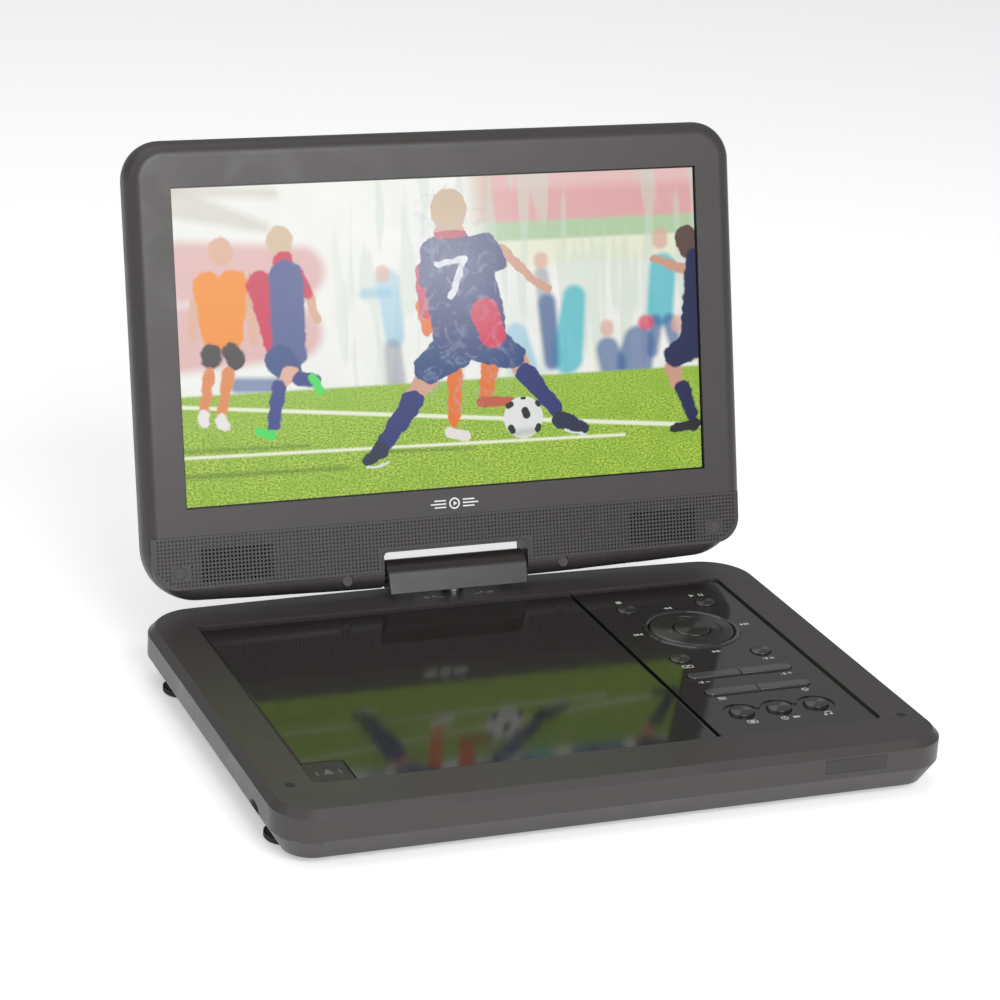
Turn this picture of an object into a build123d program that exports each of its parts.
from build123d import *
import os
from math import acos, atan2, cos, hypot, radians, sin

# A portable disc player, in millimetres. A flat base holds the disc drive under a door and the keys on
# a panel; a screen lid stands behind it on a hinge that both tilts and swivels. X runs to the right,
# Y to the back and Z up. The origin is on the surface that the player stands on, in the middle of the
# space that the player fills with its lid open.

os.makedirs("parts", exist_ok=True)

# --- driving dimensions -------------------------------------------------------------------------

# base casing
base_width = 260.4
base_height = 20.0
front_to_hinge = 183.6        # front wall to the upright axis of the hinge
hinge_to_rear = 5.8           # hinge axis to the rear wall, at the corners
rear_bow = 3.0                # how far the rear wall bows out in the middle
front_corner = 16.0
rear_corner = 21.5
bevel_width = 2.8             # sloping edge round the deck
bevel_height = 2.9
wall_drop = 11.4              # deck to the crease where the side walls start to slope in
floor_inset = 5.5             # how far the walls slope in below the crease
base_wall = 2.0
floor_wall = 1.8
foot_height = 2.5
foot_radius = 7.5
foot_recess = 0.6
foot_stem = 6.5

# recess in the deck
recess_width = 223.2
recess_depth = 145.8
front_rim = 22.6              # front wall to the recess
panel_drop = 1.0              # door and key panel lie this far below the deck
panel_wall = 1.8
recess_wall = 5.0             # from the top of the door to the top of the tray
door_width = 157.6
recess_corner = 2.6

# disc and drive
disc_radius = 60.0
well_play = 2.5               # disc edge to the wall of its well
well_drop = 3.3               # tray top to the well floor
tray_wall = 1.5
spindle_forward = 1.0         # well centre, forward of the middle of the recess
hub_hole_radius = 7.5         # the hole in a disc
hub_clearance = 0.1
disc_lift = 1.5               # disc above the well floor
inner_track = 23.5
sled_travel = 33.0
rod_radius = 1.25
rod_spacing = 34.0
screw_radius = 1.0
screw_offset = 22.5
motor_shaft = 1.0

# keys
round_key_radius = 4.0
audio_key_radius = 4.65
key_proud = 0.8
key_travel = 0.6
bar_length = 43.9
bar_width = 4.9
ring_radius = 19.4
pad_radius = 17.1
ok_radius = 7.3
key_spread = 17.4             # round keys either side of the middle of the panel
audio_spread = 15.5
open_key_width = 16.3
open_key_depth = 18.1
open_key_travel = 1.0

# sockets in the side walls
plug_radius = 1.75            # 3.5 mm plug
plug_clearance = 0.05
plug_length = 12.0
dc_radius = 2.9
dc_pin = 0.85

# lid
lid_width = 257.0
lid_thickness = 12.0
axis_depth = 5.8              # tilt axis behind the front face of the lid
axis_to_top = 177.5
axis_to_bottom = 1.2          # tilt axis to the bottom edge, at the corners
bottom_bow = 2.8
top_corner = 15.5
bottom_corner = 22.0
screen_width = 222.7
screen_height = 125.1
axis_to_screen = 34.5
lid_wall = 1.8
split_depth = 7.0             # front face to the joint between bezel and rear cover
notch_half = 30.9
notch_height = 11.0           # tilt axis to the top of the hinge notch
chin_round = 6.5
grille_top = 24.0             # tilt axis to the top of the perforated band
grille_bottom = 3.0
grille_half = 126.3
grille_wall = 1.1
grille_frame = 0.8
hole_pitch = 1.5
hole_columns = 20
hole_rows = 9
hole_radius = 0.45
speaker_centre = 92.15
speaker_level = 11.7

# hinge
closed_gap = 1.0              # deck to the front face of the closed lid
open_angle = 104.8
block_length = 59.8
block_radius = 7.4
block_toe = 9.4               # how far the foot of the block stands forward of the axis
block_drop = 3.6
block_wall = 1.5
shaft_radius = 1.8
shaft_reach = 43.3
post_radius = 4.5
post_bore = 2.2
bush_radius = 6.0

# clearances
moving_gap = 0.3              # pieces that move past each other
seam_gap = 0.4                # visible gaps round the door and the keys
seat_gap = 0.1                # pieces that are fixed side by side
running_gap = 0.03            # a shaft in its bore

# --- levels and places that follow from them ----------------------------------------------------

lean = radians(open_angle - 90)
lid_back = axis_depth - lid_thickness
back_round = 3.0
lid_reach = (axis_to_top - back_round) * sin(lean) - (lid_back + back_round) * cos(lean) + back_round
overall_depth = front_to_hinge + lid_reach
base_front = -overall_depth / 2
hinge_y = base_front + front_to_hinge
base_rear = hinge_y + hinge_to_rear

deck_z = foot_height + base_height
parting_z = deck_z - bevel_height
crease_z = deck_z - wall_drop
floor_top = foot_height + floor_wall
plate_z = deck_z - base_wall
panel_z = deck_z - panel_drop
panel_under = panel_z - panel_wall
tray_z = panel_z - recess_wall
well_z = tray_z - well_drop
well_under = well_z - tray_wall
disc_z = well_z + disc_lift
tilt_z = deck_z + closed_gap + axis_depth
half_width = base_width / 2

recess_front = base_front + front_rim
recess_rear = recess_front + recess_depth
recess_mid = (recess_front + recess_rear) / 2
recess_half = recess_width / 2
door_right = -recess_half + door_width
door_mid = (door_right - recess_half) / 2
panel_mid = (door_right + recess_half) / 2
well_radius = disc_radius + well_play
well_x = door_mid
well_y = recess_mid - spindle_forward

key_top = panel_z + key_proud
flange_z = panel_under - moving_gap - key_travel
stem_z = flange_z - 1.4
board_z = panel_under - 5.7
board_wall = 1.2

lid_plane = Plane(origin=(0, hinge_y, tilt_z), x_dir=(1, 0, 0), z_dir=(0, -cos(lean), sin(lean)))
out_of_lid = Axis(lid_plane.origin, lid_plane.z_dir)
up_lid = Axis(lid_plane.origin, lid_plane.y_dir)
split_n = axis_depth - split_depth


def base_outline(inset):
    """Plan of the base, shrunk by inset: straight front and sides, bowed rear, four round corners."""
    half = half_width - inset
    front = base_front + inset
    rear = base_rear - inset
    with BuildSketch(mode=Mode.PRIVATE) as plan:
        with BuildLine():
            Polyline((-half, rear), (-half, front), (half, front), (half, rear))
            ThreePointArc((half, rear), (0, rear + rear_bow), (-half, rear))
        make_face()
        fillet(plan.vertices().group_by(Axis.Y)[0], front_corner - inset)
        fillet(plan.vertices().group_by(Axis.Y)[-1], rear_corner - inset)
    return plan.sketch


def recess_outline(grow):
    """Plan of the recess in the deck, grown by grow all round."""
    with BuildSketch(mode=Mode.PRIVATE) as plan:
        with Locations((0, recess_mid)):
            RectangleRounded(recess_width + 2 * grow, recess_depth + 2 * grow, recess_corner + grow)
    return plan.sketch


def block(x0, x1, y0, y1, z0, z1, mode=Mode.ADD):
    """A plain block between two corners, in the part that is being built."""
    with Locations(((x0 + x1) / 2, (y0 + y1) / 2, (z0 + z1) / 2)):
        Box(x1 - x0, y1 - y0, z1 - z0, mode=mode)


def post(places, radius, z0, z1, mode=Mode.ADD):
    """Upright round posts or holes at these places, from z0 to z1."""
    with Locations(*[(x, y, (z0 + z1) / 2) for x, y in places]):
        Cylinder(radius, z1 - z0, mode=mode)


def rod(place, radius, length, along, mode=Mode.ADD):
    """A round bar or hole centred on this place and lying along X or Y."""
    turn = (0, 90, 0) if along == "X" else (90, 0, 0)
    with Locations(Location(place, turn)):
        Cylinder(radius, length, mode=mode)


def finish(built, name):
    """Names a finished piece and writes it."""
    built.part.label = name
    export_step(built.part, f"parts/{name}.step")


# --- places shared by several pieces ------------------------------------------------------------

screw_edge = 10.2             # screws and bumpers, in from the side walls
screw_x = half_width - screw_edge
screw_rows = (base_front + 13, recess_mid + 28, recess_rear + 5)
screw_places = [(side * screw_x, y) for side in (-1, 1) for y in screw_rows]
foot_edge = 10.7
foot_rows = (base_front + 29, base_rear - 30)
foot_places = [(side * (half_width - foot_edge), y) for side in (-1, 1) for y in foot_rows]
bumper_places = [(side * screw_x, recess_front + 0.9) for side in (-1, 1)]
boss_split = crease_z + 0.9
boss_radius = 3.0
pillar_x = 18.0               # pillars under the hinge bracket
screw_shank = 1.2
screw_head = 2.4
head_depth = 2.1

jack_z = floor_top + 5.2
jack_y = recess_front + 8.4
scoop_radius = 6.9
scoop_depth = 4.7
scoop_z = floor_top + 3.0
jack_face = half_width - scoop_depth
av_y = recess_front + 32
dc_y = recess_front + 50
power_y = recess_front + 76
side_z = crease_z + 2.3
collar_radius = 3.1
dc_collar = 4.2
power_slot = 9.0
power_travel = 3.0
window_x = 89.5
window_width = 25.0
window_top = 3.6
window_height = 5.5
window_z = deck_z - window_top - window_height / 2

pivot_y = recess_rear - 4.2
pivot_z = panel_under - 1.5
pivot_radius = 0.75
bearing_wall = 3.0
door_rear = recess_rear - 1.0
door_left = -recess_half + seam_gap
door_end = door_right - seam_gap
door_front = recess_front + seam_gap
open_left = -recess_half + seam_gap
open_right = -recess_half + open_key_width
open_rear = recess_front + open_key_depth

# --- base: lower shell --------------------------------------------------------------------------

wall_slope = floor_inset / (crease_z - foot_height)
bracket_z = parting_z - 2.6
scoop_half = 9.0              # wall behind the headphone scoop, either side of its socket
scoop_top = scoop_z + scoop_radius + 2.2
switch_slot_height = 3.4
through = 8.0                 # length of a cut that goes right through an outside wall

with BuildPart() as base_lower_shell:
    with BuildSketch(Plane.XY.offset(foot_height)):
        add(base_outline(floor_inset))
    with BuildSketch(Plane.XY.offset(crease_z)):
        add(base_outline(0))
    loft()
    with BuildSketch(Plane.XY.offset(crease_z)):
        add(base_outline(0))
    extrude(amount=parting_z - crease_z)
    with BuildSketch(Plane.XY.offset(floor_top)):
        add(base_outline(base_wall + wall_slope * (crease_z - floor_top)))
    with BuildSketch(Plane.XY.offset(crease_z)):
        add(base_outline(base_wall))
    loft(mode=Mode.SUBTRACT)
    with BuildSketch(Plane.XY.offset(crease_z)):
        add(base_outline(base_wall))
    extrude(amount=parting_z - crease_z, mode=Mode.SUBTRACT)
    # screw bosses, and the two pillars that carry the hinge bracket
    post(screw_places, boss_radius, floor_top - 0.5, boss_split - seat_gap)
    post(screw_places, screw_head + 0.3, foot_height - 1, foot_height + head_depth, Mode.SUBTRACT)
    post(screw_places, screw_shank + 0.2, foot_height, boss_split, Mode.SUBTRACT)
    post([(-pillar_x, hinge_y - 2), (pillar_x, hinge_y - 2)], boss_radius, floor_top - 0.5, bracket_z)
    post(foot_places, foot_stem + seat_gap, foot_height - 1, foot_height + foot_recess, Mode.SUBTRACT)
    # arched scoop round the headphone socket, with its own wall behind it
    block(-jack_face, -jack_face + base_wall, jack_y - scoop_half, jack_y + scoop_half, floor_top - 0.5,
          scoop_top)
    block(-half_width + 1.5, -jack_face + 0.1, jack_y - scoop_half, jack_y + scoop_half, crease_z,
          scoop_top)
    rod((-jack_face - 10, jack_y, scoop_z), scoop_radius, 20, "X", Mode.SUBTRACT)
    block(-half_width - 5, -jack_face, jack_y - scoop_radius, jack_y + scoop_radius, 0, scoop_z,
          Mode.SUBTRACT)
    rod((-jack_face, jack_y, jack_z), collar_radius + seat_gap, through, "X", Mode.SUBTRACT)
    # holes in the right wall and the window in the front wall
    rod((half_width, av_y, side_z), collar_radius + seat_gap, through, "X", Mode.SUBTRACT)
    rod((half_width, dc_y, side_z), dc_collar + seat_gap, through, "X", Mode.SUBTRACT)
    with Locations((half_width, power_y, side_z)):
        Box(through, power_slot, switch_slot_height, mode=Mode.SUBTRACT)
    with Locations((window_x, base_front, window_z)):
        Box(window_width, through, window_height, mode=Mode.SUBTRACT)
finish(base_lower_shell, "base_lower_shell")

# --- base: upper shell --------------------------------------------------------------------------

bar_left = door_right + seam_gap / 2
bar_wide = 3.0
ledge_wide = 1.5
ledge_z = panel_under - 1.5

with BuildPart() as base_upper_shell:
    with BuildSketch(Plane.XY.offset(parting_z)):
        add(base_outline(0))
    with BuildSketch(Plane.XY.offset(deck_z)):
        add(base_outline(bevel_width))
    loft()
    with BuildSketch(Plane.XY.offset(parting_z)):
        add(base_outline(bevel_width + 0.6))
    extrude(amount=plate_z - parting_z, mode=Mode.SUBTRACT)
    # skirt round the recess, down to the tray, and the bar between door and key panel
    with BuildSketch(Plane.XY.offset(tray_z)):
        add(recess_outline(tray_wall))
    extrude(amount=deck_z - 0.5 - tray_z)
    with BuildSketch(Plane.XY.offset(tray_z)):
        add(recess_outline(0))
    extrude(amount=deck_z - tray_z + 1, mode=Mode.SUBTRACT)
    block(bar_left, bar_left + bar_wide, recess_front - 0.5, recess_rear + 0.5, tray_z, panel_under)
    # ledges that the key panel sits on
    block(recess_half - ledge_wide, recess_half + 0.5, recess_front, recess_rear, ledge_z, panel_under)
    block(bar_left, recess_half, recess_front - 0.5, recess_front + ledge_wide, ledge_z, panel_under)
    block(bar_left, recess_half, recess_rear - ledge_wide, recess_rear + 0.5, ledge_z, panel_under)
    # bearings for the door
    block(-recess_half - bearing_wall, -recess_half, pivot_y - 3, pivot_y + 3, tray_z, plate_z + 0.5)
    rod((0, pivot_y, pivot_z), pivot_radius + running_gap, 2 * recess_half + 20, "X", Mode.SUBTRACT)
    # screw bosses, hole for the hinge post, seats for the bumpers
    post(screw_places, boss_radius, boss_split, plate_z + 0.5)
    post(screw_places, screw_shank + 0.05, boss_split - 1, boss_split + 6, Mode.SUBTRACT)
    post([(0, hinge_y)], post_radius + moving_gap, tray_z, deck_z + 1, Mode.SUBTRACT)
    post(bumper_places, 1.05, plate_z - 1, deck_z + 1, Mode.SUBTRACT)
finish(base_upper_shell, "base_upper_shell")

# --- base: disc tray ----------------------------------------------------------------------------

trough_front = pivot_y - 5.0
trough_drop = 1.7
hook_x = -86.8
hook_y = recess_front + 9.4
hook_long = 5.0
leg_x = -98.4
tray_edge = 2.0               # tray under the skirt of the recess
hub_clear_radius = 15.5
lens_slot = 9.0               # half the width of the slot
scoop_finger = 9.0

with BuildPart() as disc_tray:
    block(-recess_half - tray_edge, bar_left + bar_wide, recess_front - tray_edge, recess_rear + tray_edge,
          tray_z - tray_wall, tray_z - seat_gap)
    block(-recess_half - tray_edge, bar_left + bar_wide, trough_front - tray_wall, recess_rear + tray_edge,
          tray_z - tray_wall - trough_drop, tray_z - seat_gap)
    block(-recess_half, bar_left - seat_gap, trough_front, recess_rear, tray_z - trough_drop, tray_z + 1,
          Mode.SUBTRACT)
    post([(well_x, well_y)], well_radius + tray_wall, well_under, tray_z - seat_gap)
    post([(well_x, well_y)], well_radius, well_z, tray_z + 1, Mode.SUBTRACT)
    # round hole for the turntable and the slot that the lens looks through
    post([(well_x, well_y)], hub_clear_radius, well_under - 1, well_z + 1, Mode.SUBTRACT)
    block(well_x - lens_slot, well_x + lens_slot, well_y - inner_track - sled_travel - 5.3, well_y,
          well_under - 1, well_z + 1, Mode.SUBTRACT)
    # finger scoops beside the disc
    for side in (-1, 1):
        post([(well_x + side * (well_radius - 2), well_y)], scoop_finger, well_z, tray_z + 1, Mode.SUBTRACT)
    # slots for the door hook and for the leg of the opening key
    block(hook_x - 1.8, hook_x + 2.2, hook_y - 3.5, hook_y + 3.5, tray_z - 3, tray_z + 1, Mode.SUBTRACT)
    block(leg_x - 6.9, leg_x + 0.5, hook_y - 3.5, hook_y + 3.5, tray_z - 3, tray_z + 1, Mode.SUBTRACT)
finish(disc_tray, "disc_tray")

# --- base: key panel ----------------------------------------------------------------------------

round_keys = {
    "stop_button": (panel_mid - key_spread, recess_front + 123.5),
    "play_button": (panel_mid + key_spread, recess_front + 123.5),
    "screen_off_button": (panel_mid - key_spread, recess_front + 72.0),
    "mute_button": (panel_mid + key_spread, recess_front + 72.0),
}
audio_y = recess_front + 20.4
audio_keys = {
    "mode_button": (panel_mid - audio_spread, audio_y),
    "source_button": (panel_mid, audio_y),
    "audio_button": (panel_mid + audio_spread, audio_y),
}
pad_place = (panel_mid, recess_front + 98.8)
volume_y = recess_front + 54.8
menu_y = recess_front + 39.0
dish_depth = 0.5
dish_margin = 2.6
panel_post_x = 26.0           # posts under the panel that hold the key board
panel_post_rows = (recess_front + 7, recess_rear - 8)
panel_posts = [(panel_mid + side * panel_post_x, y) for side in (-1, 1) for y in panel_post_rows]

with BuildPart() as control_panel:
    with BuildSketch(Plane.XY.offset(panel_under)):
        with Locations(((door_right + recess_half) / 2, recess_mid)):
            RectangleRounded(recess_half - door_right - 0.5, recess_depth - 2 * seat_gap,
                             recess_corner - 0.5)
        with Locations(*round_keys.values()):
            Circle(round_key_radius + moving_gap, mode=Mode.SUBTRACT)
        with Locations(*audio_keys.values()):
            Circle(audio_key_radius + moving_gap, mode=Mode.SUBTRACT)
        with Locations(pad_place):
            Circle(ring_radius + seat_gap, mode=Mode.SUBTRACT)
        with Locations((panel_mid, volume_y), (panel_mid, menu_y)):
            SlotOverall(bar_length + 2 * moving_gap, bar_width + 2 * moving_gap, mode=Mode.SUBTRACT)
    extrude(amount=panel_wall)
    # shallow dish round the three audio keys
    with BuildSketch(Plane.XY.offset(panel_z)):
        with Locations(*audio_keys.values()):
            Circle(audio_key_radius + dish_margin)
        with Locations((panel_mid, audio_y)):
            Rectangle(2 * audio_spread, audio_key_radius)
    extrude(amount=-dish_depth, mode=Mode.SUBTRACT)
    post(panel_posts, 2.0, board_z + board_wall, panel_under + 0.3)
finish(control_panel, "control_panel")

# trim ring round the direction pad, seated in the panel
with BuildPart() as pad_ring:
    post([pad_place], ring_radius, panel_under, panel_z + 0.6)
    post([pad_place], pad_radius + moving_gap, panel_under - 1, panel_z + 2, Mode.SUBTRACT)
    chamfer(pad_ring.edges().group_by(Axis.Z)[-1], 0.5)
finish(pad_ring, "pad_ring")

# --- keys: each has a cap, a wider flange under the panel and a stem over its switch ------------

stem_radius = 1.5
flange_wall = 0.8
flange_extra = 0.9
bar_flange_half = 9.5
bar_flange_deep = 3.3

key_places = dict(round_keys) | dict(audio_keys)
for key_name, place in key_places.items():
    cap_radius = audio_key_radius if key_name in audio_keys else round_key_radius
    with BuildPart() as key:
        post([place], cap_radius, flange_z, key_top)
        fillet(key.edges().group_by(Axis.Z)[-1], 0.6)
        post([place], cap_radius + flange_extra, flange_z - flange_wall, flange_z)
        post([place], stem_radius, stem_z, flange_z)
    finish(key, key_name)

bar_keys = {
    "volume_down_key": (-1, volume_y),
    "volume_up_key": (1, volume_y),
    "menu_key": (-1, menu_y),
    "setup_key": (1, menu_y),
}
for key_name, (side, key_y) in bar_keys.items():
    with BuildPart() as key:
        with BuildSketch(Plane.XY.offset(flange_z)):
            with Locations((panel_mid, key_y)):
                SlotOverall(bar_length, bar_width)
            with Locations((panel_mid - side * (bar_length / 2 - moving_gap / 2), key_y)):
                Rectangle(bar_length, bar_width + 1, mode=Mode.SUBTRACT)
        extrude(amount=key_top - flange_z)
        fillet(key.faces().sort_by(Axis.Z)[-1].edges(), 0.5)
        key_mid = panel_mid + side * bar_length / 4
        block(key_mid - bar_flange_half, key_mid + bar_flange_half, key_y - bar_flange_deep,
              key_y + bar_flange_deep, flange_z - flange_wall, flange_z)
        post([(key_mid, key_y)], stem_radius, stem_z, flange_z)
    finish(key, key_name)

# direction pad: rocks left and right on a rocker that rocks to and fro
rocker_z = board_z + board_wall + 2.2
rocker_wall = 0.8
rocker_radius = 14.0
rocker_bore = ok_radius + 1.8
pad_dish_radius = 12.0
with BuildPart() as nav_rocker:
    post([pad_place], rocker_radius, rocker_z, rocker_z + rocker_wall)
    post([pad_place], rocker_bore, rocker_z - 1, rocker_z + 2, Mode.SUBTRACT)
finish(nav_rocker, "nav_rocker")

pad_z = rocker_z + rocker_wall + 0.7
with BuildPart() as nav_pad:
    post([pad_place], pad_radius, pad_z, key_top)
    post([pad_place], ok_radius + 0.4, pad_z - 1, key_top + 1, Mode.SUBTRACT)
    fillet(nav_pad.edges().group_by(Axis.Z)[-1].sort_by(SortBy.RADIUS)[-1], 1.4)
    post([pad_place], pad_dish_radius, key_top - 0.5, key_top + 1, Mode.SUBTRACT)
finish(nav_pad, "nav_pad")

with BuildPart() as ok_button:
    post([pad_place], ok_radius, pad_z, key_top)
    fillet(ok_button.edges().group_by(Axis.Z)[-1], 0.8)
    post([pad_place], stem_radius, stem_z, pad_z)
finish(ok_button, "ok_button")

# --- key board and its dome switches ------------------------------------------------------------

pad_switch_out = 11.5
pad_switches = [
    (pad_place[0] + pad_switch_out * cos(radians(a)), pad_place[1] + pad_switch_out * sin(radians(a)))
    for a in (0, 90, 180, 270)
]
board_half = 29.0
switch_places = list(key_places.values()) + [pad_place] + pad_switches
switch_places += [(panel_mid + side * bar_length / 4, y) for side, y in bar_keys.values()]

with BuildPart() as key_board:
    block(panel_mid - board_half, panel_mid + board_half, recess_front + 4, recess_rear - 4, board_z,
          board_z + board_wall)
    with Locations(*[(x, y, board_z + board_wall) for x, y in switch_places]):
        Cone(3.0, 1.6, 0.9, align=(Align.CENTER, Align.CENTER, Align.MIN))
finish(key_board, "key_board")

# --- disc door, its opening key and latch -------------------------------------------------------

rib_z = panel_under - 2.0
latch_z = tray_z - tray_wall - moving_gap
latch_wall = 1.6
hook_wall = 1.2
hook_z = latch_z - latch_wall - 1.2
hook_lip = 1.6
rib = 1.2
arm_wide = 3.0
arm_half = 1.6
pin_length = 5.4
corner_right = open_right + seam_gap
corner_rear = open_rear + seam_gap
past = 5.0                    # how far the corner cut runs past the door's own edges

with BuildPart() as disc_door:
    with BuildSketch(Plane.XY.offset(panel_under)):
        with Locations(((door_left + door_end) / 2, (door_front + door_rear) / 2)):
            Rectangle(door_end - door_left, door_rear - door_front)
        fillet(vertices(), recess_corner - 0.4)
        with Locations(((door_left - past + corner_right) / 2, (door_front - past + corner_rear) / 2)):
            RectangleRounded(corner_right - door_left + past, corner_rear - door_front + past, 2.5,
                             mode=Mode.SUBTRACT)
    extrude(amount=panel_wall)
    rear_edge = disc_door.edges().filter_by(Axis.X).group_by(Axis.Y)[-1].sort_by(Axis.Z)[-1]
    fillet(rear_edge, panel_wall - 0.1)
    # stiffening ribs round three sides
    block(door_left + 1, door_left + 1 + rib, open_rear + 2, pivot_y - 4, rib_z, panel_under + 0.1)
    block(door_end - 1 - rib, door_end - 1, door_front + 1, pivot_y - 4, rib_z, panel_under + 0.1)
    block(open_right + 2, door_end - 1, door_front + 1, door_front + 1 + rib, rib_z, panel_under + 0.1)
    # pivot arms with their stub pins
    for edge, way in ((door_left, -1), (door_end, 1)):
        inner = edge - way * arm_wide
        block(min(edge, inner), max(edge, inner), pivot_y - arm_half, pivot_y + arm_half, pivot_z - 1.2,
              panel_under + 0.1)
        rod((edge + way * 0.5, pivot_y, pivot_z), pivot_radius, pin_length, "X")
    # hook that the latch holds
    block(hook_x - hook_wall, hook_x, hook_y - hook_long / 2, hook_y + hook_long / 2, hook_z,
          panel_under + 0.1)
    block(hook_x - hook_wall, hook_x + hook_lip, hook_y - hook_long / 2, hook_y + hook_long / 2, hook_z,
          latch_z - latch_wall - moving_gap)
finish(disc_door, "disc_door")

key_under = tray_z + open_key_travel + 0.5
leg_z = latch_z - latch_wall - 0.5
leg_wide = 6.3
leg_slope = 2.0               # across for each millimetre down
foot_x = leg_x - leg_slope * (tray_z - tray_wall - leg_z)
with BuildPart() as open_button:
    with BuildSketch(Plane.XY.offset(key_under)):
        with Locations(((open_left + open_right) / 2, (door_front + open_rear) / 2)):
            RectangleRounded(open_right - open_left, open_rear - door_front, 2.2)
    extrude(amount=panel_z + 0.2 - key_under)
    fillet(open_button.faces().sort_by(Axis.Z)[-1].edges(), 0.4)
    # sloping leg that pushes the latch aside, two across for one down
    with BuildSketch(Plane.XZ.offset(-hook_y)):
        with BuildLine():
            Polyline((leg_x, key_under + 0.2), (leg_x, tray_z - tray_wall), (foot_x, leg_z),
                     (leg_x - leg_wide, leg_z), (leg_x - leg_wide, key_under + 0.2), close=True)
        make_face()
    extrude(amount=3.0, both=True)
finish(open_button, "open_button")

latch_left = hook_x - 4.2     # window in the latch that the hook drops through
latch_right = hook_x + 0.4
latch_end = latch_right + 6
latch_top_x = leg_x - leg_slope * (tray_z - tray_wall - latch_z) + 0.6
with BuildPart() as door_latch:
    with BuildSketch(Plane.XZ.offset(-hook_y)):
        with BuildLine():
            Polyline((latch_top_x, latch_z), (latch_top_x - leg_slope * latch_wall, latch_z - latch_wall),
                     (latch_end, latch_z - latch_wall), (latch_end, latch_z), close=True)
        make_face()
    extrude(amount=5.0, both=True)
    block(latch_left, latch_right, hook_y - 3.5, hook_y + 3.5, latch_z - 3, latch_z + 1, Mode.SUBTRACT)
finish(door_latch, "door_latch")

# --- disc drive ---------------------------------------------------------------------------------

rod_x = rod_spacing / 2
drive_z = well_under - 2.7
chassis_z = well_under - 6.7
chassis_wall = 1.0
chassis_top = chassis_z + chassis_wall
lens_y = well_y - inner_track
track_front = lens_y - sled_travel
front_post = (track_front - 16.5, track_front - 12.5)
rear_post = (well_y - 12.5, well_y - 9.5)
post_top = well_under - 0.5
post_half = 2.5
slot_half = 12.0
chassis_left = well_x - 24
chassis_right = well_x + 27
chassis_rear = well_y + 16

with BuildPart() as drive_chassis:
    block(chassis_left, chassis_right, front_post[0] - 3, chassis_rear, chassis_z, chassis_top)
    block(well_x - slot_half, well_x + slot_half, front_post[1] + 4, rear_post[0] - 4, chassis_z - 1,
          chassis_top + 1, Mode.SUBTRACT)
    for y0, y1 in (front_post, rear_post):
        block(well_x - rod_x - post_half, well_x - rod_x + post_half, y0, y1, chassis_top - 0.2, post_top)
    block(well_x + rod_x - post_half, well_x + screw_offset + 2.4, *front_post, chassis_top - 0.2, post_top)
    block(well_x + rod_x - post_half, well_x + rod_x + post_half, *rear_post, chassis_top - 0.2, post_top)
    for side in (-1, 1):
        rod((well_x + side * rod_x, well_y, drive_z), rod_radius + seat_gap / 2, 200, "Y", Mode.SUBTRACT)
    rod((well_x + screw_offset, front_post[0], drive_z), screw_radius + running_gap, 12, "Y", Mode.SUBTRACT)
finish(drive_chassis, "drive_chassis")

rod_front = front_post[0] - 0.5
rod_back = rear_post[1] + 0.5
with BuildPart() as guide_rods:
    for side in (-1, 1):
        rod((well_x + side * rod_x, (rod_front + rod_back) / 2, drive_z), rod_radius,
            rod_back - rod_front, "Y")
finish(guide_rods, "guide_rods")

motor_radius = 12.0
motor_top = well_under - 1.4
with BuildPart() as spindle_motor:
    post([(well_x, well_y)], motor_radius, chassis_top + seat_gap, motor_top)
    fillet(spindle_motor.edges().group_by(Axis.Z)[-1], 0.8)
    post([(well_x, well_y)], motor_shaft + running_gap, chassis_top + 0.9, motor_top + 1, Mode.SUBTRACT)
finish(spindle_motor, "spindle_motor")

hub_radius = hub_hole_radius - hub_clearance
hub_pin = 2.2
table_radius = 14.0
table_wall = 1.8
boss_z = motor_top + 0.5
with BuildPart() as disc_hub:
    post([(well_x, well_y)], table_radius, disc_z - table_wall, disc_z)
    post([(well_x, well_y)], 4.0, boss_z, disc_z - table_wall)
    post([(well_x, well_y)], motor_shaft, chassis_top + 1.1, boss_z)
    post([(well_x, well_y)], hub_radius, disc_z, disc_z + hub_pin)
    with Locations((well_x, well_y, disc_z + hub_pin)):
        Cone(hub_radius, hub_radius - 2, 0.9, align=(Align.CENTER, Align.CENTER, Align.MIN))
finish(disc_hub, "disc_hub")

sled_top = well_under - 0.5
lens_top = well_z + 0.4
sled_half = 9.0
sled_long = 30.0              # a bore that runs right through the sled
lens_radius = 3.0
lens_seat = well_under - 1.5
lens_dome = 0.6
with BuildPart() as pickup_sled:
    block(well_x - rod_x - post_half, well_x + screw_offset + 2.2, lens_y - sled_half, lens_y + sled_half,
          chassis_top + 0.8, sled_top)
    block(well_x - 2 * lens_radius, well_x + 2 * lens_radius, lens_y - 4.5, lens_y + 4.5, sled_top - 0.5,
          lens_top - 1.0)
    for side in (-1, 1):
        rod((well_x + side * rod_x, lens_y, drive_z), rod_radius + running_gap, sled_long, "Y",
            Mode.SUBTRACT)
    rod((well_x + screw_offset, lens_y, drive_z), screw_radius + running_gap, sled_long, "Y", Mode.SUBTRACT)
    post([(well_x, lens_y)], lens_radius + moving_gap, lens_seat, lens_top + 1, Mode.SUBTRACT)
finish(pickup_sled, "pickup_sled")

with BuildPart() as pickup_lens:
    post([(well_x, lens_y)], lens_radius, lens_seat + 0.7, lens_top - lens_dome)
    with Locations((well_x, lens_y, lens_top - lens_dome)):
        Cone(2.2, 1.4, lens_dome, align=(Align.CENTER, Align.CENTER, Align.MIN))
finish(pickup_lens, "pickup_lens")

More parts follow.
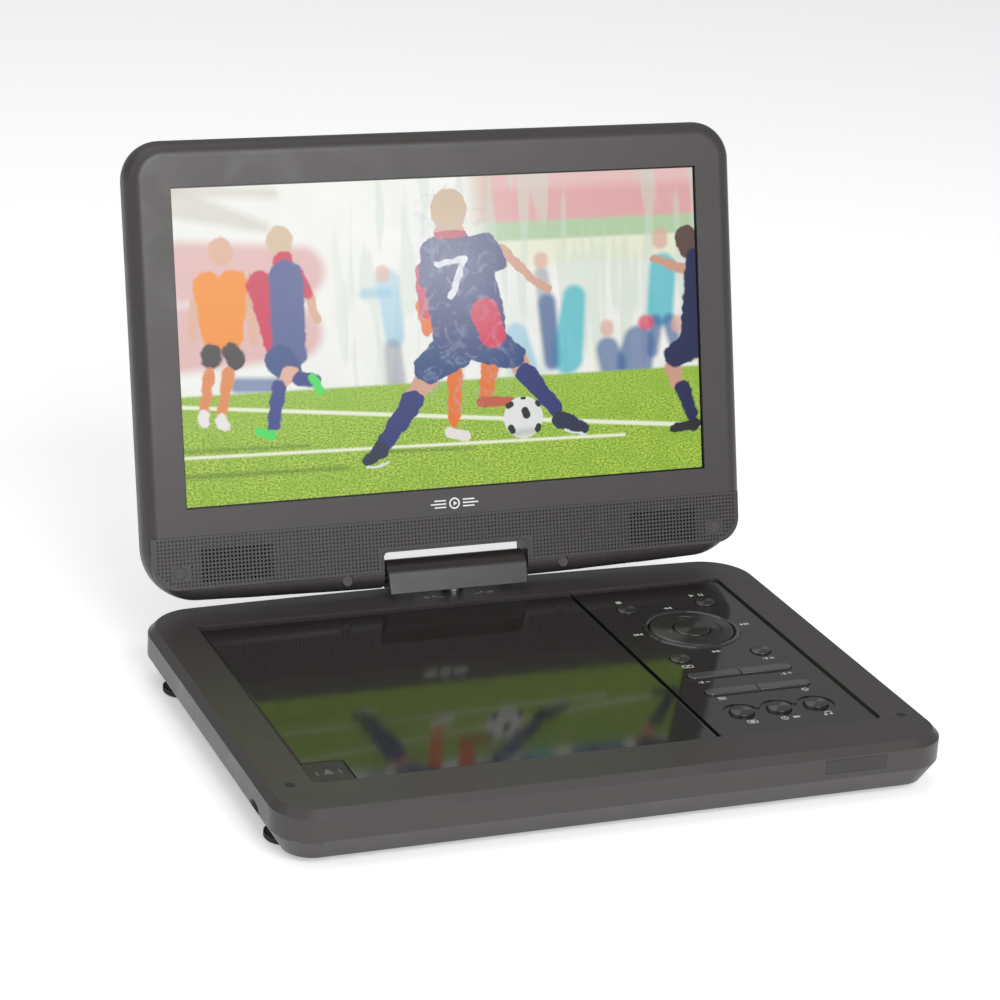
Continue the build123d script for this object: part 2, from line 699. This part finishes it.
motor_front = well_y - 7.5
motor_long = 16.0
screw_end = motor_front + 4
with BuildPart() as lead_screw:
    rod((well_x + screw_offset, (front_post[0] + screw_end) / 2, drive_z), screw_radius,
        screw_end - front_post[0], "Y")
finish(lead_screw, "lead_screw")

with BuildPart() as sled_motor:
    rod((well_x + screw_offset, motor_front + motor_long / 2, drive_z), 2.6, motor_long, "Y")
    rod((well_x + screw_offset, motor_front, drive_z), screw_radius + running_gap, 9, "Y", Mode.SUBTRACT)
finish(sled_motor, "sled_motor")

# rubber grommets that the chassis floats on
grommet_places = [(well_x + x, y) for x in (-20, 20) for y in (front_post[0] + 2, chassis_rear - 4)]
with BuildPart() as drive_grommets:
    post(grommet_places, 2.8, floor_top, chassis_z)
finish(drive_grommets, "drive_grommets")

# --- electronics and battery --------------------------------------------------------------------

main_z = floor_top + 1.9
main_wall = 1.4
main_right = screw_x - 4
main_top = main_z + main_wall
main_front = base_front + 6
receiver_half = 3.5
# chips and cans on the board: left edge, front edge from the recess, width, depth and height
chips = ((30, 60, 18, 18, 2.2), (62, 30, 12, 16, 1.6), (72, 95, 14, 14, 2.8), (40, 110, 10, 20, 3.4))
with BuildPart() as main_board:
    block(0, main_right, main_front, recess_rear - 5, main_z, main_top)
    for x, y, wide, deep, tall in chips:
        block(x, x + wide, recess_front + y, recess_front + y + deep, main_top - 0.1, main_top + tall)
    # remote-control receiver behind the window
    block(window_x - receiver_half, window_x + receiver_half, main_front, main_front + 4, main_top - 0.1,
          window_z + 2)
    rod((window_x, main_front + 0.1, window_z), 1.8, 1.6, "Y")
finish(main_board, "main_board")

battery_left = -116.0
battery_right = -80.0
battery_wall = 6.2
with BuildPart() as battery_pack:
    block(battery_left, battery_right, recess_front + 26, recess_rear - 8, floor_top + 0.2,
          floor_top + 0.2 + battery_wall)
    fillet(battery_pack.edges().filter_by(Axis.Y), 1.5)
finish(battery_pack, "battery_pack")

socket_radius = plug_radius + plug_clearance
jack_half = 4.2
jack_rise = 3.6
with BuildPart() as headphone_jack:
    block(-jack_face + base_wall + seat_gap, -jack_face + 14, jack_y - jack_half, jack_y + jack_half,
          jack_z - jack_rise, jack_z + jack_rise)
    rod((-jack_face + 1.6, jack_y, jack_z), collar_radius, 3.2, "X")
    rod((-jack_face + plug_length / 2, jack_y, jack_z), socket_radius, plug_length, "X", Mode.SUBTRACT)
finish(headphone_jack, "headphone_jack")

side_jack_back = half_width - 14.5
side_jack_face = half_width - base_wall - seat_gap
jack_foot = half_width - base_wall - floor_inset + 2
collar_long = 3.6
collar_mid = half_width - 1.9
dc_half = 5.0
with BuildPart() as av_jack:
    block(side_jack_back, side_jack_face, av_y - jack_half, av_y + jack_half, crease_z, side_z + jack_rise)
    block(side_jack_back, jack_foot, av_y - jack_half, av_y + jack_half, main_top, crease_z + 0.1)
    rod((collar_mid, av_y, side_z), collar_radius, collar_long, "X")
    rod((half_width - 0.1 - plug_length / 2, av_y, side_z), socket_radius, plug_length, "X", Mode.SUBTRACT)
finish(av_jack, "av_jack")

with BuildPart() as dc_inlet:
    block(side_jack_back, side_jack_face, dc_y - dc_half, dc_y + dc_half, crease_z, side_z + 4.6)
    block(side_jack_back, jack_foot, dc_y - dc_half, dc_y + dc_half, main_top, crease_z + 0.1)
    rod((collar_mid, dc_y, side_z), dc_collar, collar_long, "X")
    rod((half_width - 5.1, dc_y, side_z), dc_radius, 10, "X", Mode.SUBTRACT)
    rod((half_width - 6.1, dc_y, side_z), dc_pin, 9, "X")
finish(dc_inlet, "dc_inlet")

slider_y = power_y - power_travel / 2
slider_half = 2.4
slider_rise = 1.3
slider_back = half_width - base_wall - moving_gap
with BuildPart() as power_switch:
    block(slider_back - 0.1, half_width + 0.9, slider_y - slider_half, slider_y + slider_half,
          side_z - slider_rise, side_z + slider_rise)
    fillet(power_switch.faces().sort_by(Axis.X)[-1].edges(), 0.4)
    block(slider_back - 1.2, slider_back, slider_y - 5, slider_y + 5, side_z - 2.2, side_z + 2.2)
finish(power_switch, "power_switch")

with BuildPart() as ir_window:
    with Locations((window_x, base_front + 0.9, window_z)):
        Box(window_width - 2 * seat_gap, 1.8, window_height - 2 * seat_gap)
    with Locations((window_x, base_front + base_wall + 0.6, window_z)):
        Box(window_width + 3, 1.0, window_height - 0.4)
    with Locations((window_x, base_front + 1.9, window_z)):
        Box(window_width - 1, 1.0, window_height - 0.8)
finish(ir_window, "ir_window")

# --- feet, bumpers and screws -------------------------------------------------------------------

with BuildPart() as rubber_feet:
    post(foot_places, foot_radius, 0, foot_height - seat_gap)
    chamfer(rubber_feet.edges().group_by(Axis.Z)[0], 0.6)
    post(foot_places, foot_stem, foot_height - 0.5, foot_height + foot_recess - 0.05)
finish(rubber_feet, "rubber_feet")

bumper_height = 0.5
bumper_radius = 1.9
bumper_round = (bumper_radius ** 2 + bumper_height ** 2) / (2 * bumper_height)
with BuildPart() as rim_bumpers:
    with Locations(*[(x, y, deck_z + bumper_height - bumper_round) for x, y in bumper_places]):
        Sphere(bumper_round)
    split(bisect_by=Plane.XY.offset(deck_z), keep=Keep.TOP)
    post(bumper_places, 1.0, plate_z, deck_z + 0.1)
finish(rim_bumpers, "rim_bumpers")

with BuildPart() as base_screws:
    post(screw_places, screw_head, foot_height + 0.3, foot_height + head_depth - 0.05)
    post(screw_places, screw_shank, foot_height + head_depth - 0.1, boss_split + 5)
    with Locations(*[(x, y, foot_height) for x, y in screw_places]):
        Box(2.6, 0.7, 1.6, mode=Mode.SUBTRACT)
        Box(0.7, 2.6, 1.6, mode=Mode.SUBTRACT)
finish(base_screws, "base_screws")

# --- swivel: bracket, bush, post ----------------------------------------------------------------

bracket_half = 24.0
with BuildPart() as swivel_bracket:
    block(-bracket_half, bracket_half, hinge_y - 9.5, hinge_y + 5.4, bracket_z, bracket_z + 1.5)
    post([(0, hinge_y)], bush_radius + seat_gap / 2, bracket_z - 1, bracket_z + 3, Mode.SUBTRACT)
finish(swivel_bracket, "swivel_bracket")

bush_z = parting_z - 6.2
with BuildPart() as swivel_bush:
    post([(0, hinge_y)], bush_radius, bush_z, parting_z - 0.2)
    post([(0, hinge_y)], post_radius + running_gap, bush_z - 1, plate_z, Mode.SUBTRACT)
finish(swivel_bush, "swivel_bush")

block_base = tilt_z - block_drop
post_low = bush_z - 3.2
neck_radius = post_radius - 1.4
with BuildPart() as swivel_post:
    post([(0, hinge_y)], post_radius, post_low, block_base)
    post([(0, hinge_y)], neck_radius, block_base - 0.1, block_base + block_wall)
    post([(0, hinge_y)], post_bore, post_low - 1, block_base + 3, Mode.SUBTRACT)
finish(swivel_post, "swivel_post")

with BuildPart() as swivel_nut:
    post([(0, hinge_y)], bush_radius + 0.2, bush_z - 2.2, bush_z - moving_gap)
    chamfer(swivel_nut.edges(), 0.3)
    post([(0, hinge_y)], post_radius + seat_gap / 4, bush_z - 3, bush_z, Mode.SUBTRACT)
finish(swivel_nut, "swivel_nut")

with BuildPart() as lid_cable:
    post([(0, hinge_y)], 1.5, post_low, tilt_z + 1.5)
finish(lid_cable, "lid_cable")

# --- hinge block --------------------------------------------------------------------------------


def block_section(inset):
    """End view of the hinge block: a round top, an upright back and a front that slopes to its toe."""
    radius = block_radius - inset
    toe = (-block_toe + 1.3 * inset, -block_drop)
    reach = hypot(*toe)
    touch = atan2(toe[1], toe[0]) - acos(radius / reach)
    touch_point = (radius * cos(touch), radius * sin(touch))
    with BuildSketch(mode=Mode.PRIVATE) as section:
        with BuildLine():
            Polyline((radius, 0), (radius, -block_drop), toe, touch_point)
            ThreePointArc((radius, 0), (0, radius), touch_point)
        make_face()
    return section.sketch


end_plane = Plane(origin=(0, hinge_y, tilt_z), x_dir=(0, 1, 0), z_dir=(1, 0, 0))
for cover_name, kept in (("hinge_cover_front", Keep.TOP), ("hinge_cover_rear", Keep.BOTTOM)):
    with BuildPart() as hinge_cover:
        with BuildSketch(end_plane):
            add(block_section(0))
        extrude(amount=block_length / 2, both=True)
        fillet(hinge_cover.faces().filter_by(Axis.X).edges(), 0.6)
        with BuildSketch(end_plane):
            add(block_section(block_wall))
        extrude(amount=block_length / 2 - block_wall, both=True, mode=Mode.SUBTRACT)
        rod((0, hinge_y, tilt_z), shaft_radius + 0.35, block_length + 4, "X", Mode.SUBTRACT)
        split(bisect_by=Plane(origin=(0, hinge_y, 0), z_dir=(0, -1, 0)), keep=kept)
    finish(hinge_cover, cover_name)

ear_x = 16.5
ear_wide = 3.0
ear_radius = 4.4
ear_out = ear_x + ear_wide
with BuildPart() as hinge_yoke:
    block(-ear_out - 2, ear_out + 2, hinge_y - 6.2, hinge_y + 5.4, block_base, block_base + block_wall)
    for left in (-ear_out, ear_x):
        rod((left + ear_wide / 2, hinge_y, tilt_z), ear_radius, ear_wide, "X")
        block(left, left + ear_wide, hinge_y - ear_radius, hinge_y + ear_radius, block_base, tilt_z)
    rod((0, hinge_y, tilt_z), shaft_radius + running_gap, block_length, "X", Mode.SUBTRACT)
    post([(0, hinge_y)], neck_radius + 0.02, block_base - 1, block_base + 3, Mode.SUBTRACT)
finish(hinge_yoke, "hinge_yoke")

with BuildPart() as tilt_shafts:
    for side in (-1, 1):
        rod((side * (shaft_reach + ear_x) / 2, hinge_y, tilt_z), shaft_radius, shaft_reach - ear_x, "X")
finish(tilt_shafts, "tilt_shafts")

# --- lid: everything here is drawn on the lid's own plane, with the tilt axis as its origin -----


def lid_outline(inset):
    """Face of the lid, shrunk by inset: straight top and sides, bowed bottom, four round corners."""
    half = lid_width / 2 - inset
    top = axis_to_top - inset
    bottom = -axis_to_bottom + inset
    with BuildSketch(mode=Mode.PRIVATE) as face:
        with BuildLine():
            Polyline((half, bottom), (half, top), (-half, top), (-half, bottom))
            ThreePointArc((-half, bottom), (0, bottom - bottom_bow), (half, bottom))
        make_face()
        fillet(face.vertices().group_by(Axis.Y)[-1], top_corner - inset)
        fillet(face.vertices().group_by(Axis.Y)[0], bottom_corner - inset)
    return face.sketch


def notch_outline(grow):
    """The notch in the lid's bottom edge that the hinge block stands in, grown by grow."""
    height = notch_height + grow
    with BuildSketch(mode=Mode.PRIVATE) as notch:
        with Locations((0, height / 2 - 10)):
            RectangleRounded(2 * (notch_half + grow), height + 20, 1.7 + grow)
    return notch.sketch


def lid_post(places, radius, n0, n1, mode=Mode.ADD):
    """Round posts or holes square to the lid's face, from n0 to n1."""
    with BuildSketch(lid_plane.offset(n0)) as ends:
        with Locations(*places):
            Circle(radius)
    extrude(ends.sketch, amount=n1 - n0, mode=mode)


def lid_block(u0, u1, v0, v1, n0, n1, mode=Mode.ADD):
    """A block square to the lid's face."""
    with BuildSketch(lid_plane.offset(n0)) as end:
        with Locations(((u0 + u1) / 2, (v0 + v1) / 2)):
            Rectangle(u1 - u0, v1 - v0)
    extrude(end.sketch, amount=n1 - n0, mode=mode)


def lid_rod(side, near, far, radius, mode=Mode.ADD):
    """A round bar or hole on the tilt axis, to one side of the middle, between two distances from it."""
    rod((side * (near + far) / 2, hinge_y, tilt_z), radius, far - near, "X", mode)


band_plugs = [(side * 115.2, 9.8) for side in (-1, 1)]
chin_plugs = [(side * 46.5, 1.0) for side in (-1, 1)]
plug_face = {"band": 2.4, "chin": 2.1}
speaker_places = [(side * speaker_centre, speaker_level) for side in (-1, 1)]
knuckle_radius = 2.7
knuckle_near = 33.4           # hinge knuckles, out from the middle of the lid
knuckle_far = 43.5
pocket_near = knuckle_near - moving_gap
pocket_far = knuckle_far + moving_gap
pocket_radius = knuckle_radius + 0.25
shaft_way_near = 28.0
shaft_way_far = 36.0
shaft_way_radius = shaft_radius + 0.35
counterbore_radius = 2.25
lid_boss_radius = 3.0
opening_margin = 5.2
speaker_opening = (15.0, 7.0)  # half width and half height
panel_corner = 10.5
cavity_floor = 4.5
skin_n = axis_depth - 2.0
lcd_front = axis_depth - 1.25
screen_half = screen_width / 2
screen_top = axis_to_screen + screen_height
seat_n = axis_depth - 1.2
head_seat = 1.4


def lid_cavity(floor):
    """Inside of a lid shell: the lid's outline and the notch, each a wall in, and nothing below floor."""
    with BuildSketch(mode=Mode.PRIVATE) as inside:
        add(lid_outline(lid_wall))
        add(notch_outline(lid_wall), mode=Mode.SUBTRACT)
        with Locations((0, floor - 50)):
            Rectangle(2 * lid_width, 100, mode=Mode.SUBTRACT)
    return inside.sketch


with BuildPart() as lid_front_bezel:
    with BuildSketch(lid_plane.offset(split_n)):
        add(lid_outline(0))
    extrude(amount=split_depth)
    front_edges = lid_front_bezel.faces().sort_by(out_of_lid)[-1].edges()
    low_edge = front_edges.sort_by(up_lid)[0]
    fillet(low_edge, chin_round)
    with BuildSketch(lid_plane.offset(split_n - 1)):
        add(notch_outline(0))
    extrude(amount=split_depth + 2, mode=Mode.SUBTRACT)
    with BuildSketch(lid_plane.offset(split_n)):
        add(lid_cavity(cavity_floor))
    extrude(amount=skin_n - split_n, mode=Mode.SUBTRACT)
    # screen opening and the deeper seat of the screen behind it
    lid_block(-screen_half - opening_margin, screen_half + opening_margin, axis_to_screen - 5,
              screen_top + 5, split_n, lcd_front + 0.05, Mode.SUBTRACT)
    lid_block(-screen_half, screen_half, axis_to_screen, screen_top, split_n, axis_depth + 1, Mode.SUBTRACT)
    # recess for the perforated panel, with its own lower corners and step round the notch
    with BuildSketch(lid_plane.offset(seat_n)):
        with Locations((0, (grille_top + grille_bottom) / 2)):
            Rectangle(2 * grille_half, grille_top - grille_bottom)
        fillet(vertices().group_by(Axis.Y)[0], panel_corner)
        add(notch_outline(grille_frame), mode=Mode.SUBTRACT)
    extrude(amount=5, mode=Mode.SUBTRACT)
    for u, v in speaker_places:
        lid_block(u - speaker_opening[0], u + speaker_opening[0], v - speaker_opening[1],
                  v + speaker_opening[1], skin_n - 1, axis_depth, Mode.SUBTRACT)
    # pockets for the hinge knuckles, holes for the shafts, bosses and counterbores for the screws
    lid_post(band_plugs, 3.2, split_n, skin_n + 0.1)
    for places in (band_plugs, chin_plugs):
        lid_post(places, counterbore_radius, head_seat, axis_depth + 1, Mode.SUBTRACT)
        lid_post(places, screw_shank - 0.05, split_n - 1, head_seat + 1, Mode.SUBTRACT)
    for side in (-1, 1):
        lid_rod(side, pocket_near, pocket_far, pocket_radius, Mode.SUBTRACT)
        lid_rod(side, shaft_way_near, shaft_way_far, shaft_way_radius, Mode.SUBTRACT)
        lid_block(*sorted((side * pocket_near, side * pocket_far)), 0, 20, split_n - 1, -0.9, Mode.SUBTRACT)
finish(lid_front_bezel, "lid_front_bezel")

with BuildPart() as speaker_grille:
    with BuildSketch(lid_plane.offset(seat_n)):
        with Locations((0, (grille_top + grille_bottom) / 2)):
            Rectangle(2 * (grille_half - seat_gap), grille_top - grille_bottom - 2 * seat_gap)
        fillet(vertices().group_by(Axis.Y)[0], panel_corner - 0.1)
        add(notch_outline(grille_frame + seat_gap), mode=Mode.SUBTRACT)
        with Locations(*band_plugs):
            Circle(plug_face["band"] + 0.12, mode=Mode.SUBTRACT)
        for u, v in speaker_places:
            with Locations((u, v)):
                with GridLocations(hole_pitch, hole_pitch, hole_columns, hole_rows):
                    Circle(hole_radius, mode=Mode.SUBTRACT)
    extrude(amount=grille_wall)
finish(speaker_grille, "speaker_grille")

with BuildPart() as lid_rear_cover:
    with BuildSketch(lid_plane.offset(lid_back)):
        add(lid_outline(0))
    extrude(amount=split_n - seat_gap - lid_back)
    back_face = lid_rear_cover.faces().sort_by(out_of_lid)[0]
    fillet(back_face.edges(), back_round)
    with BuildSketch(lid_plane.offset(lid_back - 1)):
        add(notch_outline(0))
    extrude(amount=lid_thickness, mode=Mode.SUBTRACT)
    with BuildSketch(lid_plane.offset(lid_back + lid_wall)):
        add(lid_cavity(-axis_to_bottom - bottom_bow + lid_wall))
    extrude(amount=lid_thickness, mode=Mode.SUBTRACT)
    lid_post(band_plugs + chin_plugs, lid_boss_radius, lid_back + 1, split_n - seat_gap)
    lid_post(band_plugs + chin_plugs, 1.05, lid_back + 2.2, split_n + 1, Mode.SUBTRACT)
    for side in (-1, 1):
        lid_rod(side, pocket_near, pocket_far, pocket_radius, Mode.SUBTRACT)
        lid_rod(side, shaft_way_near, shaft_way_far, shaft_way_radius, Mode.SUBTRACT)
finish(lid_rear_cover, "lid_rear_cover")

with BuildPart() as lid_brackets:
    for side in (-1, 1):
        lid_rod(side, knuckle_near, knuckle_far, knuckle_radius)
        lid_block(*sorted((side * knuckle_near, side * knuckle_far)), 0, 19, -2.7, -1.2)
        lid_rod(side, knuckle_near - 1, knuckle_far + 1, shaft_radius + 0.02, Mode.SUBTRACT)
finish(lid_brackets, "lid_brackets")

with BuildPart() as lcd_panel:
    lid_block(-screen_half - 5, screen_half + 5, axis_to_screen - 4.8, screen_top + 4.8, lcd_front - 3.4,
              lcd_front)
finish(lcd_panel, "lcd_panel")

with BuildPart() as screen_board:
    lid_block(-62, 62, 60, 128, -3.6, -2.4)
    lid_block(-20, -4, 84, 100, -2.5, -1.4)
    lid_block(16, 44, 76, 82, -2.5, -1.4)
finish(screen_board, "screen_board")

frame_back = 0.4
cone_back = 1.6
magnet_radius = 5.0
with BuildPart() as speakers:
    for u, v in speaker_places:
        lid_block(u - 16.5, u + 16.5, v - 6.6, v + 8.5, frame_back, skin_n - seat_gap)
        lid_block(u - 13.5, u + 13.5, v - 5.4, v + 5.4, cone_back, 5, Mode.SUBTRACT)
        lid_post([(u, v)], magnet_radius, -3.6, frame_back + 0.1)
        lid_post([(u, v)], magnet_radius - 0.8, cone_back - 0.1, cone_back + 1)
finish(speakers, "speakers")

with BuildPart() as lid_screws:
    lid_post(band_plugs + chin_plugs, 2.0, head_seat, head_seat + 1.3)
    lid_post(band_plugs + chin_plugs, 1.0, lid_back + 2.5, head_seat + 0.1)
finish(lid_screws, "lid_screws")

with BuildPart() as lid_screw_plugs:
    lid_post(band_plugs, plug_face["band"] - 0.25, head_seat + 1.5, seat_n + 0.1)
    lid_post(band_plugs, plug_face["band"], seat_n + 0.02, axis_depth - 0.2)
    lid_post(chin_plugs, plug_face["chin"], head_seat + 1.5, axis_depth - 0.45)
finish(lid_screw_plugs, "lid_screw_plugs")
